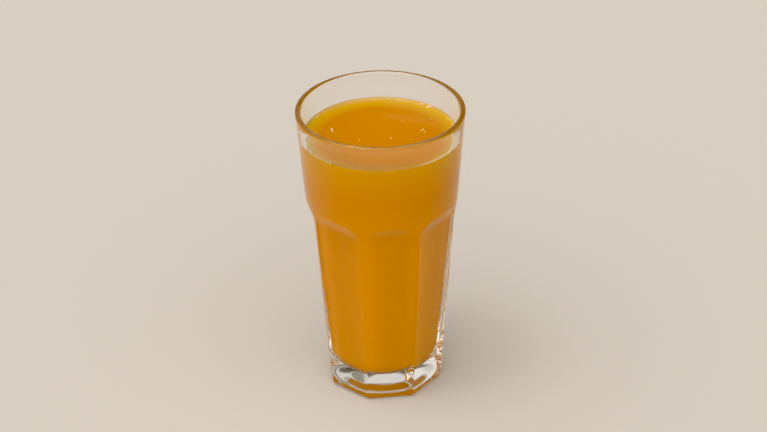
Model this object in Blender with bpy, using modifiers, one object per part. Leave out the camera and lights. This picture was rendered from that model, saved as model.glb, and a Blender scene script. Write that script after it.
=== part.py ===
"""Glass of mandarin juice: a tall pressed tumbler with eight flat cuts, and the juice that fills it.

Metres, +Z up. The origin is the middle of the underside, at the height of the ring that the glass
stands on, and one of the eight cuts faces -Y.
"""

import math

import bmesh
import bpy
from mathutils import Matrix, Vector

# Driving dimensions of the tumbler
HEIGHT = 0.153  # underside to the top of the lip
RIM_RADIUS = 0.0415  # outside of the lip
FOOT_RADIUS = 0.0302  # corners of the octagonal foot
LIP_THICKNESS = 0.0026  # the lip is a half round over this wall

# The flat cuts round the lower body
CUTS = 8
CUT_TOP = 0.0975  # height where the flats start to run out
RUN_OUT_RADIUS = 0.0128  # hollow curve at the top of each cut
RUN_OUT_TURN = 60  # degrees of that curve, enough to leave the cone
CORNER_INSET = 0.0002  # how far the corners between cuts lie inside the cone
FOOT_ROUND = 0.0024  # rounded edge under each cut
FOOT_TURN = 68  # degrees of that rounding below the level of its middle
FOOT_TAIL = 3  # length of the cut's straight end under the foot, in steps of the rounding

# The hollow in the underside: middle radius, width and rise of each of its two soft steps
UNDERSIDE_STEPS = ((0.0217, 0.0050, 0.0006), (0.0140, 0.0096, 0.0018))

# The well that holds the juice
WELL_FLOOR = 0.0112  # thickness of the glass between the standing ring and the juice
WELL_CORNER = 0.0100  # rounding where the floor turns into the wall
WELL_RADIUS = 0.0245  # inside radius at the gauge height
WELL_GAUGE = 0.0320
WELL_TAPER = 0.0964  # radius gained for each metre of height
FLARE = 0.0027  # further radius gained across the shoulder
FLARE_START = 0.088
FLARE_END = 0.138

# The juice
FILL_LEVEL = 0.1385
MENISCUS_RISE = 0.0010
MENISCUS_WIDTH = 0.0022
GAP = 0.0003  # between the juice and the wall

# Steps in the curves
TURN_STEPS = 64
CORNER_STEPS = 9
FLARE_STEPS = 8
LIP_STEPS = 10
RUN_OUT_STEPS = 12
FOOT_STEPS = 6
HOLLOW_STEPS = 6
MENISCUS_STEPS = 5

CUT_REACH = 0.012  # how far a cutter stands out past the cone
CUT_HALF_WIDTH = 0.024
SHARP_ANGLE = math.radians(25)
TINY = 0.00001  # merge distance for points on the axis


def cone_radius(z):
    """Outside of the round body before the flats are cut."""
    foot = FOOT_RADIUS + CORNER_INSET
    return foot + (RIM_RADIUS - foot) * z / HEIGHT


def smooth_step(t):
    t = min(max(t, 0.0), 1.0)
    return t * t * (3 - 2 * t)


def well_radius(z):
    """Inside of the wall: a straight taper that flares across the shoulder."""
    flare = FLARE * smooth_step((z - FLARE_START) / (FLARE_END - FLARE_START))
    return WELL_RADIUS + WELL_TAPER * (z - WELL_GAUGE) + flare


def arc(center, radius, start, end, steps):
    """Points (x, z) along an arc, with the angles in degrees from +X towards +Z."""
    points = []
    for step in range(steps + 1):
        angle = math.radians(start + (end - start) * step / steps)
        points.append((center[0] + radius * math.cos(angle), center[1] + radius * math.sin(angle)))
    return points


def well_outline(top, gap=0.0):
    """Points (x, z) from the axis along the floor and up the wall, moved inwards by the gap."""
    tilt = math.atan(WELL_TAPER)
    corner_z = WELL_FLOOR + WELL_CORNER
    corner_x = well_radius(corner_z) - WELL_CORNER / math.cos(tilt)
    points = [(0.0, WELL_FLOOR + gap)]
    points += arc((corner_x, corner_z), WELL_CORNER - gap, -90, -math.degrees(tilt), CORNER_STEPS)
    for step in range(FLARE_STEPS + 1):
        z = FLARE_START + (FLARE_END - FLARE_START) * step / FLARE_STEPS
        points.append((well_radius(z) - gap, z))
    return points + [(well_radius(top) - gap, top)]


def underside_outline():
    """Points (x, z) from the inner edge of the standing ring up to the middle of the hollow."""
    points = []
    height = 0.0
    for middle, width, rise in UNDERSIDE_STEPS:
        for step in range(HOLLOW_STEPS + 1):
            share = step / HOLLOW_STEPS
            points.append((middle + width * (0.5 - share), height + rise * smooth_step(share)))
        height += rise
    return points + [(0.0, height)]


def turned(name, outline, collection):
    """A solid turned about Z from an outline of (x, z) points that starts and ends on the axis."""
    mesh = bpy.data.meshes.new(name)
    points = [(x, 0.0, z) for x, z in outline]
    mesh.from_pydata(points, [(i, i + 1) for i in range(len(points) - 1)], [])
    solid = bpy.data.objects.new(name, mesh)
    collection.objects.link(solid)
    screw = solid.modifiers.new("Turn", "SCREW")
    screw.axis = "Z"
    screw.angle = math.tau
    screw.steps = screw.render_steps = TURN_STEPS
    screw.use_merge_vertices = True
    screw.merge_threshold = TINY
    return solid


def tumbler_outline():
    """The round blank: up the inside, over the lip, down the outside and in along the underside."""
    half = LIP_THICKNESS / 2
    lip_z = HEIGHT - half
    lip_x = RIM_RADIUS - half
    points = well_outline(lip_z - half)
    points += arc((lip_x, lip_z), half, 180, 0, LIP_STEPS)
    points.append((cone_radius(0.0), 0.0))
    return points + underside_outline()


def cut_outline():
    """Side view (x, z) of what each cut takes away: round foot edge, tilted flat, hollow run-out."""
    to_flat = math.cos(math.pi / CUTS)
    flat_foot = (cone_radius(0.0) - CORNER_INSET) * to_flat
    flat_top = (cone_radius(CUT_TOP) - CORNER_INSET) * to_flat
    up = Vector((flat_top - flat_foot, CUT_TOP)).normalized()
    out = Vector((up.y, -up.x))
    tilt = math.atan2(up.x, up.y)

    round_z = FOOT_ROUND * math.sin(math.radians(FOOT_TURN)) + TINY
    round_x = flat_foot + math.tan(tilt) * round_z - FOOT_ROUND / math.cos(tilt)
    points = arc((round_x, round_z), FOOT_ROUND, -FOOT_TURN, -math.degrees(tilt), FOOT_STEPS)
    first, second = Vector(points[0]), Vector(points[1])
    tail = first + (first - second) * FOOT_TAIL

    center = Vector((flat_top, CUT_TOP)) + out * RUN_OUT_RADIUS
    for step in range(RUN_OUT_STEPS + 1):
        turn = math.radians(RUN_OUT_TURN * step / RUN_OUT_STEPS)
        point = center - out * RUN_OUT_RADIUS * math.cos(turn) + up * RUN_OUT_RADIUS * math.sin(turn)
        points.append(tuple(point))
    far = cone_radius(CUT_TOP) + CUT_REACH
    return [tuple(tail)] + points + [(far, points[-1][1] + TINY), (far, tail.y)]


def cutter_mesh():
    """One cut as a prism: the side view on the XZ plane, pushed out both ways along Y."""
    mesh = bpy.data.meshes.new("flat_cutter")
    prism = bmesh.new()
    corners = [prism.verts.new((x, -CUT_HALF_WIDTH, z)) for x, z in cut_outline()]
    side = prism.faces.new(corners)
    pushed = bmesh.ops.extrude_face_region(prism, geom=[side])["geom"]
    moved = [part for part in pushed if isinstance(part, bmesh.types.BMVert)]
    bmesh.ops.translate(prism, verts=moved, vec=(0.0, 2 * CUT_HALF_WIDTH, 0.0))
    bmesh.ops.recalc_face_normals(prism, faces=prism.faces)
    prism.to_mesh(mesh)
    prism.free()
    return mesh


def cut_flats(glass, cutters):
    """Eight cutters about the axis, the first at -Y, each taken out of the blank."""
    shared = cutter_mesh()
    for cut in range(CUTS):
        cutter = bpy.data.objects.new(f"flat_cutter_{cut}", shared)
        cutters.objects.link(cutter)
        cutter.matrix_world = Matrix.Rotation(math.tau * cut / CUTS - math.pi / 2, 4, "Z")
        cutter.hide_render = True
        cutter.display_type = "WIRE"
        cutting = glass.modifiers.new(f"Cut_{cut}", "BOOLEAN")
        cutting.operation = "DIFFERENCE"
        cutting.object = cutter


def juice_outline():
    """From the middle of the surface out to the meniscus, down the wall and back along the floor."""
    wall = well_outline(FILL_LEVEL + MENISCUS_RISE, GAP)
    edge = wall[-1][0]
    points = [(0.0, FILL_LEVEL)]
    for step in range(MENISCUS_STEPS):
        share = step / MENISCUS_STEPS
        x = edge - MENISCUS_WIDTH * (1 - share)
        points.append((x, FILL_LEVEL + MENISCUS_RISE * share**3))
    return points + wall[::-1]


def work_in(solid):
    """Turn the modifiers into the mesh itself, shaded smooth up to its sharp edges."""
    drawn = solid.data
    evaluated = solid.evaluated_get(bpy.context.evaluated_depsgraph_get())
    mesh = bpy.data.meshes.new_from_object(evaluated)
    mesh.name = solid.name
    mesh.shade_smooth()
    mesh.set_sharp_from_angle(angle=SHARP_ANGLE)
    solid.modifiers.clear()
    solid.data = mesh
    bpy.data.meshes.remove(drawn)


def finish_material(name, color, roughness, transmission, ior):
    material = bpy.data.materials.new(name)
    material.use_nodes = True
    shader = material.node_tree.nodes["Principled BSDF"]
    shader.inputs["Base Color"].default_value = (*color, 1.0)
    shader.inputs["Roughness"].default_value = roughness
    shader.inputs["Metallic"].default_value = 0.0
    shader.inputs["Transmission Weight"].default_value = transmission
    shader.inputs["IOR"].default_value = ior
    return material


def new_collection(name):
    collection = bpy.data.collections.new(name)
    bpy.context.scene.collection.children.link(collection)
    return collection


def main():
    for item in list(bpy.data.objects):
        bpy.data.objects.remove(item, do_unlink=True)
    parts = new_collection("mandarin_juice_glass")
    cutters = new_collection("cutters")

    glass = turned("glass", tumbler_outline(), parts)
    cut_flats(glass, cutters)
    work_in(glass)
    glass.data.materials.append(finish_material("clear_glass", (1.0, 1.0, 1.0), 0.02, 1.0, 1.52))

    juice = turned("juice", juice_outline(), parts)
    work_in(juice)
    juice.data.materials.append(finish_material("mandarin_juice", (0.80, 0.38, 0.01), 0.1, 0.0, 1.35))


main()
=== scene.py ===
import math
import random

import bmesh
import bpy
from mathutils import Matrix, Vector


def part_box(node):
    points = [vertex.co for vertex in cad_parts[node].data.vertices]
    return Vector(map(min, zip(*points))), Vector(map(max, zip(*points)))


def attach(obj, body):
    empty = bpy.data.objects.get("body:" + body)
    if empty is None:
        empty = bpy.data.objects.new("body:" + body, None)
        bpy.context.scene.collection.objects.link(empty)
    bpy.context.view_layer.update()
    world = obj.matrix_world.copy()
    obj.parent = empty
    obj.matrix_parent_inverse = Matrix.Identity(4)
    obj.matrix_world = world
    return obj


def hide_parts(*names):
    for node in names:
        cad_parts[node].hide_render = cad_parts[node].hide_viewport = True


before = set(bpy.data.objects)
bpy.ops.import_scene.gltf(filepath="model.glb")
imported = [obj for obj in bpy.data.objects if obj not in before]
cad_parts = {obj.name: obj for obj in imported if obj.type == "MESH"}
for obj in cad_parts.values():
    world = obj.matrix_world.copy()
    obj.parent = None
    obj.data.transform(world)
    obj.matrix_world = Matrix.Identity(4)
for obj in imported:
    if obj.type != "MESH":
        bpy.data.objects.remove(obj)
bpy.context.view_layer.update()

# The frame gives the sizes of the glass and of the juice in it
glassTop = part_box("glass")[1]
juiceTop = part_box("juice")[1]
glassHeight = glassTop.z
rimRadius = glassTop.x

# Outside of the tumbler: a cone with eight flat cuts that run out in a hollow curve
tumbler = {
    "footRadius": 0.0302,      # corners of the foot
    "cornerInset": 0.0002,     # corners between the cuts, inside the cone
    "cuts": 8,
    "cutTop": 0.0975,          # where a cut starts to run out
    "runOutRadius": 0.0128,
    "runOutShare": 0.985,      # share of that radius over which the curve is followed
    "cornerRounding": 0.0013,  # between two cuts
    "archSoftness": 0.0012,    # where a cut runs out on the cone
    "archShare": 0.05,         # share of that softness below the run-out
    "archGrowth": 0.005,       # height over which it grows to the whole
    "footRounding": 0.0024,
    "lipThickness": 0.0026,
}

# Inside of the tumbler
well = {
    "floor": 0.0112,
    "corner": 0.0100,
    "radius": 0.0245,
    "gauge": 0.0320,           # height where the wall has that radius
    "taper": 0.0964,
    "flare": 0.0027,
    "flareStart": 0.088,
    "flareEnd": 0.138,
    "lean": -0.0010,           # sideways shift of the floor, none at the lip
}

# Underside: a ring to stand on, then two soft steps up to a shallow hollow
underside = {
    "firstStep": 0.0235,       # middle of each step, from the axis
    "firstWidth": 0.0050,
    "firstRise": 0.0012,
    "secondStep": 0.0140,
    "secondWidth": 0.0096,
    "secondRise": 0.0012,
}

# How fine the tumbler's mesh is
detail = {
    "columnsOnCut": 28,
    "columnsOnCorner": 12,
    "cornerTurn": 1.4,         # degrees to each side of a corner, where its columns stand
    "floorRings": (0.25, 0.5, 0.75),   # at these shares of the flat floor of the well
    "wellCornerRows": 20,
    "wellRows": 8,             # from there up to the flare
    "flareRows": 40,
    "lipRows": 16,
    "collarRows": 10,          # from the lip down to the arches
    "archTop": 0.110,
    "archBottom": 0.0955,
    "archRows": 58,
    "cutRows": 12,
    "footRows": 8,
    "undersideRows": 40,
}


def coneRadius(z):
    foot = tumbler["footRadius"] + tumbler["cornerInset"]
    return foot + (rimRadius - foot) * z / glassHeight


def smoothStep(t):
    t = min(max(t, 0.0), 1.0)
    return t * t * (3 - 2 * t)


def softMin(a, b, width):
    blend = max(width - abs(a - b), 0.0) / width
    return min(a, b) - blend * blend * width / 4


def cutDepth(z):
    # distance from the axis to a cut's face, at its middle
    halfTurn = math.cos(math.pi / tumbler["cuts"])
    inset = tumbler["cornerInset"]
    foot = (coneRadius(0.0) - inset) * halfTurn
    top = (coneRadius(tumbler["cutTop"]) - inset) * halfTurn
    face = foot + (top - foot) * z / tumbler["cutTop"]
    above = z - tumbler["cutTop"]
    if above > 0:
        radius = tumbler["runOutRadius"]
        reach = min(above, radius * tumbler["runOutShare"])
        face += radius - math.sqrt(radius * radius - reach * reach)
    rounding = tumbler["footRounding"]
    if z < rounding:
        face -= rounding - math.sqrt(max(rounding * rounding - (rounding - z) ** 2, 0.0))
    return face


def octagonRadius(face, angle, rounding):
    # radius at an angle of an octagon with rounded corners
    sector = math.tau / tumbler["cuts"]
    turn = abs((angle + sector / 2) % sector - sector / 2)
    half = sector / 2
    if face * math.tan(turn) <= (face - rounding) * math.tan(half):
        return face / math.cos(turn)
    center = (face - rounding) / math.cos(half)
    off = half - turn
    return center * math.cos(off) + math.sqrt(max(rounding ** 2 - (center * math.sin(off)) ** 2, 0.0))


def outerRadius(z, angle):
    cut = octagonRadius(cutDepth(z), angle, tumbler["cornerRounding"])
    growth = smoothStep((z - tumbler["cutTop"]) / tumbler["archGrowth"])
    share = tumbler["archShare"] + (1 - tumbler["archShare"]) * growth
    return softMin(coneRadius(z), cut, tumbler["archSoftness"] * share)


def wellRadius(z):
    flare = well["flare"] * smoothStep((z - well["flareStart"]) / (well["flareEnd"] - well["flareStart"]))
    return well["radius"] + well["taper"] * (z - well["gauge"]) + flare


def wellShift(z):
    return well["lean"] * (1 - z / glassHeight)


def undersideHeight(radius):
    first = smoothStep((underside["firstStep"] - radius) / underside["firstWidth"] + 0.5)
    second = smoothStep((underside["secondStep"] - radius) / underside["secondWidth"] + 0.5)
    return first * underside["firstRise"] + second * underside["secondRise"]


def columnAngles():
    # closer together on the rounded corners; a cut faces -Y
    sector = math.tau / tumbler["cuts"]
    edge = math.radians(detail["cornerTurn"])
    angles = []
    for cut in range(tumbler["cuts"]):
        start = -math.pi / 2 + sector * cut - sector / 2
        for step in range(detail["columnsOnCorner"]):
            angles.append(start - edge + 2 * edge * step / detail["columnsOnCorner"])
        for step in range(detail["columnsOnCut"]):
            angles.append(start + edge + (sector - 2 * edge) * step / detail["columnsOnCut"])
    return angles


def spread(start, end, count):
    # count values from start up to, and without, end
    return [start + (end - start) * step / count for step in range(count)]


def makeWellRows(top, push=0.0):
    # rows (radius, z, shift) from the middle of the floor up the wall, moved outwards by the push
    corner = well["corner"]
    cornerZ = well["floor"] + corner
    tilt = math.atan(well["taper"])
    centerX = wellRadius(cornerZ) - corner / math.cos(tilt)
    rows = [(share * centerX, well["floor"] - push) for share in detail["floorRings"]]
    for step in range(detail["wellCornerRows"] + 1):
        turn = (math.pi / 2 - tilt) * step / detail["wellCornerRows"]
        radius = centerX + (corner + push) * math.sin(turn)
        rows.append((radius, cornerZ - (corner + push) * math.cos(turn)))
    heights = spread(rows[-1][1], well["flareStart"], detail["wellRows"])[1:]
    heights += spread(well["flareStart"], top, detail["flareRows"]) + [top]
    rows += [(wellRadius(z) + push, z) for z in heights]
    return [(radius, z, wellShift(z)) for radius, z in rows]


def addPiece(name, shape):
    mesh = bpy.data.meshes.new(name)
    shape.to_mesh(mesh)
    shape.free()
    piece = bpy.data.objects.new(name, mesh)
    bpy.context.scene.collection.objects.link(piece)
    return piece


def lathe(name, rows, angles, bottom, top):
    # each row has a radius, or a function of the angle, a height and a sideways shift
    # bottom and top are the heights of the first and the last point, in the middle
    shape = bmesh.new()
    rings = []
    for radius, z, shift in rows:
        ring = []
        for angle in angles:
            reach = radius(angle) if callable(radius) else radius
            ring.append(shape.verts.new((shift + reach * math.cos(angle), reach * math.sin(angle), z)))
        rings.append(ring)
    sides = [(here, (here + 1) % len(angles)) for here in range(len(angles))]
    for lower, upper in zip(rings, rings[1:]):
        for here, after in sides:
            shape.faces.new((lower[here], lower[after], upper[after], upper[here]))
    for ring, z, shift in ((rings[0], bottom, rows[0][2]), (rings[-1], top, rows[-1][2])):
        tip = shape.verts.new((shift, 0.0, z))
        for here, after in sides:
            shape.faces.new((tip, ring[here], ring[after]))
    bmesh.ops.recalc_face_normals(shape, faces=shape.faces)
    piece = addPiece(name, shape)
    piece.data.shade_smooth()
    return piece


def makeTumbler():
    half = tumbler["lipThickness"] / 2
    lipZ = glassHeight - half
    lipX = rimRadius - half
    rows = makeWellRows(lipZ)[:-1]
    for step in range(detail["lipRows"] + 1):
        turn = math.pi * (1 - step / detail["lipRows"])
        rows.append((lipX + half * math.cos(turn), lipZ + half * math.sin(turn), 0.0))
    rounding = tumbler["footRounding"]
    heights = spread(lipZ, detail["archTop"], detail["collarRows"])[1:]
    heights += spread(detail["archTop"], detail["archBottom"], detail["archRows"])
    heights += spread(detail["archBottom"], rounding, detail["cutRows"])
    for step in range(detail["footRows"] + 1):
        heights.append(rounding * (1 - math.sin(math.pi / 2 * step / detail["footRows"])))
    for z in heights:
        rows.append((lambda angle, z=z: outerRadius(z, angle), z, 0.0))
    edge = underside["firstStep"] + underside["firstWidth"] / 2
    for radius in spread(edge, 0.0, detail["undersideRows"]):
        rows.append((radius, undersideHeight(radius), 0.0))
    return lathe("tumbler", rows, columnAngles(), well["floor"], undersideHeight(0.0))


# The juice in the well
drink = {
    "rise": 0.0010,      # of the juice up the wall
    "width": 0.0022,     # of that rise, inwards from the wall
    "push": 0.00015,     # how far the juice reaches into the wall
    "columns": 256,
    "riseRows": 12,
    "surfaceRings": (0.8, 0.6, 0.4, 0.2),   # shares of the flat surface
}
juiceLevel = juiceTop.z - drink["rise"]


def makeJuice():
    rows = makeWellRows(juiceLevel + drink["rise"], drink["push"])
    edge = rows[-1][0] - drink["push"]
    shift = wellShift(juiceLevel)
    for step in range(drink["riseRows"] + 1):
        share = 1 - step / drink["riseRows"]
        height = juiceLevel + drink["rise"] * share ** 3
        rows.append((edge - drink["width"] * (1 - share), height, shift))
    rows += [(edge * share, juiceLevel, shift) for share in drink["surfaceRings"]]
    angles = [math.tau * column / drink["columns"] for column in range(drink["columns"])]
    return lathe("juice_fill", rows, angles, well["floor"] - drink["push"], juiceLevel)


# The camera looks at a point on the axis, which lies at aimPixel in the picture
cameraView = {
    "aim": (0.0, 0.0, 0.075),
    "aimPixel": (382.4, 245.1),
    "distance": 1.059,
    "elevation": 31.3,
    "azimuth": 6.2,
    "roll": 0.9,
    "focalPixels": 2100,
    "sensorWidth": 36.0,
}
imageSize = (767, 432)


def placeCamera():
    data = bpy.data.cameras.new("photoCamera")
    data.sensor_width = cameraView["sensorWidth"]
    data.lens = cameraView["focalPixels"] * data.sensor_width / imageSize[0]
    data.shift_x = (imageSize[0] / 2 - cameraView["aimPixel"][0]) / imageSize[0]
    data.shift_y = (cameraView["aimPixel"][1] - imageSize[1] / 2) / imageSize[0]
    camera = bpy.data.objects.new("photoCamera", data)
    bpy.context.scene.collection.objects.link(camera)
    side = math.radians(cameraView["azimuth"])
    rise = math.radians(cameraView["elevation"])
    toCamera = Vector((-math.sin(side) * math.cos(rise), -math.cos(side) * math.cos(rise), math.sin(rise)))
    place = Matrix.Translation(Vector(cameraView["aim"]) + toCamera * cameraView["distance"])
    turn = toCamera.to_track_quat("Z", "Y").to_matrix().to_4x4()
    roll = Matrix.Rotation(math.radians(-cameraView["roll"]), 4, "Z")
    camera.matrix_world = place @ turn @ roll
    bpy.context.scene.camera = camera


# Small bubbles: clusters along the wall and some afloat
# Their angles are in degrees, from the camera's side towards its right
bubbles = {
    "clusters": (
        # first and last angle, how many, smallest and largest radius
        (-131, -113, 11, 0.00022, 0.00050),
        (134, 137, 3, 0.00030, 0.00055),
        (137.5, 139, 2, 0.00065, 0.00085),
        (144, 146, 3, 0.00045, 0.00080),
        (96, 116, 15, 0.00020, 0.00045),
        (172, 174, 2, 0.00030, 0.00045),
        (-66, -42, 26, 0.00025, 0.00055),
        (-41, -39, 3, 0.00040, 0.00060),
        (-30, 20, 14, 0.00015, 0.00030),
        (28, 84, 84, 0.00024, 0.00050),
    ),
    "afloat": (
        # distance from the axis, angle, radius
        (0.0244, -102, 0.00060),
        (0.0236, -98, 0.00042),
        (0.0066, 51, 0.00035),
        (0.0211, 100, 0.00045),
        (0.0200, 97, 0.00030),
        (0.0216, 94, 0.00035),
        (0.0170, 140, 0.00025),
        (0.0120, -60, 0.00022),
        (0.0290, 120, 0.00028),
    ),
    "stray": (0.1, 0.9),  # where a bubble may lie in its share of the cluster
    "fromWall": 0.0006,   # the furthest that a cluster's bubble lies from the wall
    "sunk": 0.35,         # share of a bubble's height below the juice
    "roundness": 2,
    "seed": 7,
}


def addBubble(shape, distance, degrees, radius):
    turn = math.radians(degrees - cameraView["azimuth"] - 90)
    place = Vector((distance * math.cos(turn) + wellShift(juiceLevel), distance * math.sin(turn), 0.0))
    toWall = max(wellRadius(juiceLevel) - distance, 0.0)
    climb = drink["rise"] * max(1 - toWall / drink["width"], 0.0) ** 3
    place.z = juiceLevel + climb + radius * (1 - 2 * bubbles["sunk"])
    matrix = Matrix.Translation(place)
    bmesh.ops.create_icosphere(shape, subdivisions=bubbles["roundness"], radius=radius, matrix=matrix)


def makeBubbles():
    chance = random.Random(bubbles["seed"])
    shape = bmesh.new()
    for first, last, count, smallest, largest in bubbles["clusters"]:
        for bubble in range(count):
            degrees = first + (last - first) * (bubble + chance.uniform(*bubbles["stray"])) / count
            radius = smallest + (largest - smallest) * chance.random() ** 2
            distance = wellRadius(juiceLevel) - radius - bubbles["fromWall"] * chance.random()
            addBubble(shape, distance, degrees, radius)
    for distance, degrees, radius in bubbles["afloat"]:
        addBubble(shape, distance, degrees, radius)
    piece = addPiece("surface_bubbles", shape)
    piece.data.shade_smooth()
    return piece


def newMaterial(name):
    material = bpy.data.materials.new(name)
    material.use_nodes = True
    return material, material.node_tree.nodes["Principled BSDF"]


glassLook = {
    "color": (1.0, 1.0, 1.0, 1.0),
    "roughness": 0.0,
    "ior": 1.52,
    "seeThrough": 1.0,
    "waveScale": 110,          # waves of the pressed surface, across one metre
    "waveDetail": 1.0,
    "waveHeight": 0.00006,
}


def clearGlass():
    material, shader = newMaterial("pressedClearGlass")
    tree = material.node_tree
    place = tree.nodes.new("ShaderNodeTexCoord")
    waves = tree.nodes.new("ShaderNodeTexNoise")
    waves.inputs["Scale"].default_value = glassLook["waveScale"]
    waves.inputs["Detail"].default_value = glassLook["waveDetail"]
    relief = tree.nodes.new("ShaderNodeBump")
    relief.inputs["Strength"].default_value = 1.0
    relief.inputs["Distance"].default_value = glassLook["waveHeight"]
    tree.links.new(place.outputs["Object"], waves.inputs["Vector"])
    tree.links.new(waves.outputs[0], relief.inputs["Height"])
    tree.links.new(relief.outputs["Normal"], shader.inputs["Normal"])
    shader.inputs["Base Color"].default_value = glassLook["color"]
    shader.inputs["Roughness"].default_value = glassLook["roughness"]
    shader.inputs["IOR"].default_value = glassLook["ior"]
    shader.inputs["Transmission Weight"].default_value = glassLook["seeThrough"]
    return material


juiceLook = {
    "ior": 1.35,
    "wallColor": (0.95, 0.365, 0.002, 1.0),
    "paintedLightUpperColor": (0.97, 0.440, 0.010, 1.0),   # painted light: paler just under the surface, where light comes down through the open top
    "paintedLightDepth": 0.018,        # how far down that painted light fades into the wall's colour
    "wallRoughness": 1.0,
    "againstGlass": 0.888,     # IOR of the juice over that of the glass
    "edgeHighlightColor": (0.50, 0.28, 0.07, 1.0),   # painted highlight: a glossier, less orange ring at the contact line stands in for the pale line seen there
    "edgeRoughness": 0.3,
    "edgeFrom": 0.65,          # share of the rise where that painted highlight starts
    "paintedUnderGlow": 0.10,         # painted glow: emission in the juice's colour stands in for light that wanders down through the juice to its underside
    "underTop": 0.0150,        # height where the underside ends
    "openDepth": 0.0001,       # a face this far under the level is no longer open to the air
    "openSlope": 0.1,          # nor is one that faces up less than this
    "openRoughness": 0.03,
    "paintedBackLightShift": 0.0025,       # painted back light: the pale edge is wider at the back, where light comes in through the wall from behind
    # colour of the open surface at distances from the axis, with painted light: darker and more orange in
    # the middle, paler and yellower towards the wall, where light comes in through the glass
    "openColorsWithPaintedLight": (
        (0.0300, (0.480, 0.170, 0.003, 1.0)),
        (0.0330, (0.510, 0.235, 0.003, 1.0)),
        (0.0366, (0.560, 0.305, 0.008, 1.0)),
        (0.0388, (0.530, 0.305, 0.055, 1.0)),
        (0.0401, (0.530, 0.365, 0.165, 1.0)),
    ),
}


def cloudyJuice():
    # the surface open to the air, with painted light: paler towards the wall, more so at the back
    material, shader = newMaterial("cloudyMandarinJuice")
    tree = material.node_tree
    place = tree.nodes.new("ShaderNodeTexCoord")
    across = tree.nodes.new("ShaderNodeVectorMath")
    across.operation = "MULTIPLY_ADD"
    across.inputs[1].default_value = (1.0, 1.0, 0.0)
    # painted back light: the distance is measured from a point a little towards the front, so the pale
    # edge is wider at the back
    across.inputs[2].default_value = (0.0, juiceLook["paintedBackLightShift"], 0.0)
    distance = tree.nodes.new("ShaderNodeVectorMath")
    distance.operation = "LENGTH"
    inner, innerColor = juiceLook["openColorsWithPaintedLight"][0]
    outer, outerColor = juiceLook["openColorsWithPaintedLight"][-1]
    reach = tree.nodes.new("ShaderNodeMapRange")
    reach.inputs["From Min"].default_value = inner
    reach.inputs["From Max"].default_value = outer
    # painted light: the ramp runs from a darker middle to a pale edge by the wall
    ramp = tree.nodes.new("ShaderNodeValToRGB")
    for between, color in juiceLook["openColorsWithPaintedLight"][1:-1]:
        stop = ramp.color_ramp.elements.new((between - inner) / (outer - inner))
        stop.color = color
    ramp.color_ramp.elements[0].color = innerColor
    ramp.color_ramp.elements[-1].color = outerColor
    tree.links.new(place.outputs["Object"], across.inputs[0])
    tree.links.new(across.outputs["Vector"], distance.inputs[0])
    tree.links.new(distance.outputs["Value"], reach.inputs["Value"])
    tree.links.new(reach.outputs["Result"], ramp.inputs["Fac"])
    tree.links.new(ramp.outputs["Color"], shader.inputs["Base Color"])
    shader.inputs["Roughness"].default_value = juiceLook["openRoughness"]
    shader.inputs["IOR"].default_value = juiceLook["ior"]
    return material


def juiceEdge():
    # painted highlight: the ring at the contact line
    material, shader = newMaterial("juiceEdgePaintedHighlight")
    shader.inputs["Base Color"].default_value = juiceLook["edgeHighlightColor"]
    shader.inputs["Roughness"].default_value = juiceLook["edgeRoughness"]
    shader.inputs["IOR"].default_value = juiceLook["ior"]
    return material


def juiceAgainstGlass(name, glow=0.0):
    # seen through the wall at a shallow angle, the wet glass turns into a mirror
    material, shader = newMaterial(name)
    tree = material.node_tree
    place = tree.nodes.new("ShaderNodeTexCoord")
    split = tree.nodes.new("ShaderNodeSeparateXYZ")
    height = tree.nodes.new("ShaderNodeMapRange")
    height.inputs["From Min"].default_value = juiceLevel - juiceLook["paintedLightDepth"]
    height.inputs["From Max"].default_value = juiceLevel
    # painted light: the juice behind the glass turns paler towards its surface
    ramp = tree.nodes.new("ShaderNodeValToRGB")
    ramp.color_ramp.elements[0].color = juiceLook["wallColor"]
    ramp.color_ramp.elements[1].color = juiceLook["paintedLightUpperColor"]
    tree.links.new(place.outputs["Object"], split.inputs[0])
    tree.links.new(split.outputs["Z"], height.inputs["Value"])
    tree.links.new(height.outputs["Result"], ramp.inputs["Fac"])
    tree.links.new(ramp.outputs["Color"], shader.inputs["Base Color"])
    shader.inputs["Roughness"].default_value = juiceLook["wallRoughness"]
    shader.inputs["Specular IOR Level"].default_value = 0.0   # the mirror below takes its place
    # painted glow: emission in the juice's colour, used on the underside
    shader.inputs["Emission Color"].default_value = juiceLook["wallColor"]
    shader.inputs["Emission Strength"].default_value = glow
    mirror = tree.nodes.new("ShaderNodeBsdfGlossy")
    mirror.inputs["Roughness"].default_value = 0.0
    mirror.inputs["Color"].default_value = (1.0, 1.0, 1.0, 1.0)
    fresnel = tree.nodes.new("ShaderNodeFresnel")
    fresnel.inputs["IOR"].default_value = juiceLook["againstGlass"]
    mix = tree.nodes.new("ShaderNodeMixShader")
    tree.links.new(fresnel.outputs[0], mix.inputs["Fac"])
    tree.links.new(shader.outputs[0], mix.inputs[1])
    tree.links.new(mirror.outputs[0], mix.inputs[2])
    tree.links.new(mix.outputs[0], tree.nodes["Material Output"].inputs["Surface"])
    return material


def finishJuice(mesh):
    openAir, wall, under, edgeHighlight = range(4)
    mesh.materials.append(cloudyJuice())
    mesh.materials.append(juiceAgainstGlass("mandarinJuiceBehindGlass"))
    mesh.materials.append(juiceAgainstGlass("mandarinJuiceUnderside", juiceLook["paintedUnderGlow"]))
    mesh.materials.append(juiceEdge())
    edgeHighlightFrom = juiceLevel + juiceLook["edgeFrom"] * drink["rise"]
    openFrom = juiceLevel - juiceLook["openDepth"]
    for face in mesh.polygons:
        face.material_index = openAir
        if face.center.z > edgeHighlightFrom:
            face.material_index = edgeHighlight
        elif face.center.z < juiceLook["underTop"]:
            face.material_index = under
        elif face.center.z < openFrom or face.normal.z < juiceLook["openSlope"]:
            face.material_index = wall


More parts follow.
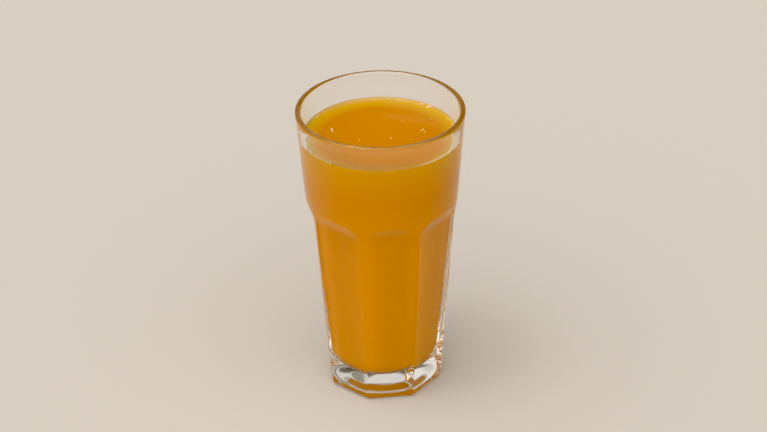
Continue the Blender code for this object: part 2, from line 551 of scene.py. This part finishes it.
bubbleLook = {
    # painted glints: the pale cream colour stands in for the bright highlights on clear bubbles
    "color": (1.0, 0.84, 0.48, 1.0),
    "roughness": 0.08,
    "seeThrough": 0.25,
    "ior": 1.4,
}


def bubbleGlintSkin():
    material, shader = newMaterial("juiceBubblePaintedGlints")
    shader.inputs["Base Color"].default_value = bubbleLook["color"]
    shader.inputs["Roughness"].default_value = bubbleLook["roughness"]
    shader.inputs["Transmission Weight"].default_value = bubbleLook["seeThrough"]
    shader.inputs["IOR"].default_value = bubbleLook["ior"]
    return material


floorLook = {
    "size": 6.0,
    "drop": 0.0002,            # a little under the foot, so that the two never touch
    "squares": 4,              # along each side
    "color": (0.508, 0.473, 0.447, 1.0),
    "roughness": 0.6,
    "shine": 0.2,
}


def makeFloor():
    shape = bmesh.new()
    squares = floorLook["squares"]
    bmesh.ops.create_grid(shape, x_segments=squares, y_segments=squares, size=floorLook["size"] / 2)
    floor = addPiece("studioFloor", shape)
    floor.location.z = -floorLook["drop"]
    material, shader = newMaterial("paleStudioFloor")
    shader.inputs["Base Color"].default_value = floorLook["color"]
    shader.inputs["Roughness"].default_value = floorLook["roughness"]
    shader.inputs["Specular IOR Level"].default_value = floorLook["shine"]
    floor.data.materials.append(material)


# The air round the studio, brighter towards the left and the front
air = {
    # sine of the angle above the floor, and the colour there
    "levels": (
        (0.14, (0.03, 0.028, 0.025, 1.0)),
        (0.38, (1.32, 1.28, 1.19, 1.0)),
        (0.72, (1.35, 1.30, 1.22, 1.0)),
        (0.95, (1.60, 1.55, 1.46, 1.0)),
    ),
    "strength": 0.95,
    "brightSide": (-0.54, -0.84, 0.0),
}


def fillAir():
    world = bpy.data.worlds.new("studioAir")
    bpy.context.scene.world = world
    world.use_nodes = True
    tree = world.node_tree
    background = tree.nodes["Background"]
    direction = tree.nodes.new("ShaderNodeTexCoord")
    split = tree.nodes.new("ShaderNodeSeparateXYZ")
    ramp = tree.nodes.new("ShaderNodeValToRGB")
    tree.links.new(direction.outputs["Generated"], split.inputs[0])
    tree.links.new(split.outputs["Z"], ramp.inputs["Fac"])
    tree.links.new(ramp.outputs["Color"], background.inputs["Color"])
    for height, color in air["levels"][1:-1]:
        ramp.color_ramp.elements.new(height)
    for stop, (height, color) in zip(ramp.color_ramp.elements, air["levels"]):
        stop.position = height
        stop.color = color
    side = tree.nodes.new("ShaderNodeVectorMath")
    side.operation = "DOT_PRODUCT"
    side.inputs[1].default_value = [air["strength"] * part for part in air["brightSide"]]
    strength = tree.nodes.new("ShaderNodeMath")
    strength.operation = "ADD"
    strength.inputs[1].default_value = air["strength"]
    tree.links.new(direction.outputs["Generated"], side.inputs[0])
    tree.links.new(side.outputs["Value"], strength.inputs[0])
    tree.links.new(strength.outputs[0], background.inputs["Strength"])


# Soft lights, each aimed at a height on the axis
softboxColor = (1.0, 0.97, 0.93)
softboxes = {
    "keySoftbox": {
        "place": (-1.75, -0.46, 6.25),
        "aimHeight": 0.05,
        "size": (1.5, 1.5),
        "power": 46,
    },
    "backSoftbox": {
        "place": (0.9, 2.95, 2.6),     # its lower edge stays out of the mirror of the juice
        "aimHeight": 0.05,
        "size": (3.0, 1.1),
        "power": 3.5,
    },
    "sidePanel": {
        "place": (1.03, 3.58, 1.52),   # mirrored in the right part of the juice
        "aimHeight": 0.14,
        "size": (1.2, 0.9),
        "power": 0.9,
    },
}


def hangSoftboxes():
    for name, box in softboxes.items():
        data = bpy.data.lights.new(name, "AREA")
        data.shape = "RECTANGLE"
        data.size, data.size_y = box["size"]
        data.energy = box["power"]
        data.color = softboxColor
        lamp = bpy.data.objects.new(name, data)
        bpy.context.scene.collection.objects.link(lamp)
        lamp.location = box["place"]
        fromAim = Vector(box["place"]) - Vector((0.0, 0.0, box["aimHeight"]))
        lamp.rotation_euler = fromAim.to_track_quat("Z", "Y").to_euler()


picture = {
    "bounces": 16,             # light turns over many times inside the thick base
    "blackLevel": (0.006, 0.010, 0.036),
}


def setPicture():
    paths = bpy.context.scene.cycles
    paths.max_bounces = picture["bounces"]
    paths.glossy_bounces = picture["bounces"]
    paths.transmission_bounces = picture["bounces"]
    view = bpy.context.scene.view_settings
    view.view_transform = "Standard"
    view.look = "None"
    view.use_curve_mapping = True
    view.curve_mapping.black_level = picture["blackLevel"]
    view.curve_mapping.update()


tumblerPiece = makeTumbler()
tumblerPiece.data.materials.append(clearGlass())
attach(tumblerPiece, "root")
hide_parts("glass")
print("tumbler:", len(tumblerPiece.data.polygons), "faces")

juicePiece = makeJuice()
finishJuice(juicePiece.data)
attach(juicePiece, "root")
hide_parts("juice")
print("juice:", len(juicePiece.data.polygons), "faces")

bubblePiece = makeBubbles()
bubblePiece.data.materials.append(bubbleGlintSkin())
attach(bubblePiece, "root")
print("bubbles:", len(bubblePiece.data.polygons), "faces")

makeFloor()
placeCamera()
fillAir()
hangSoftboxes()
setPicture()
print("studio: floor, camera and lights")
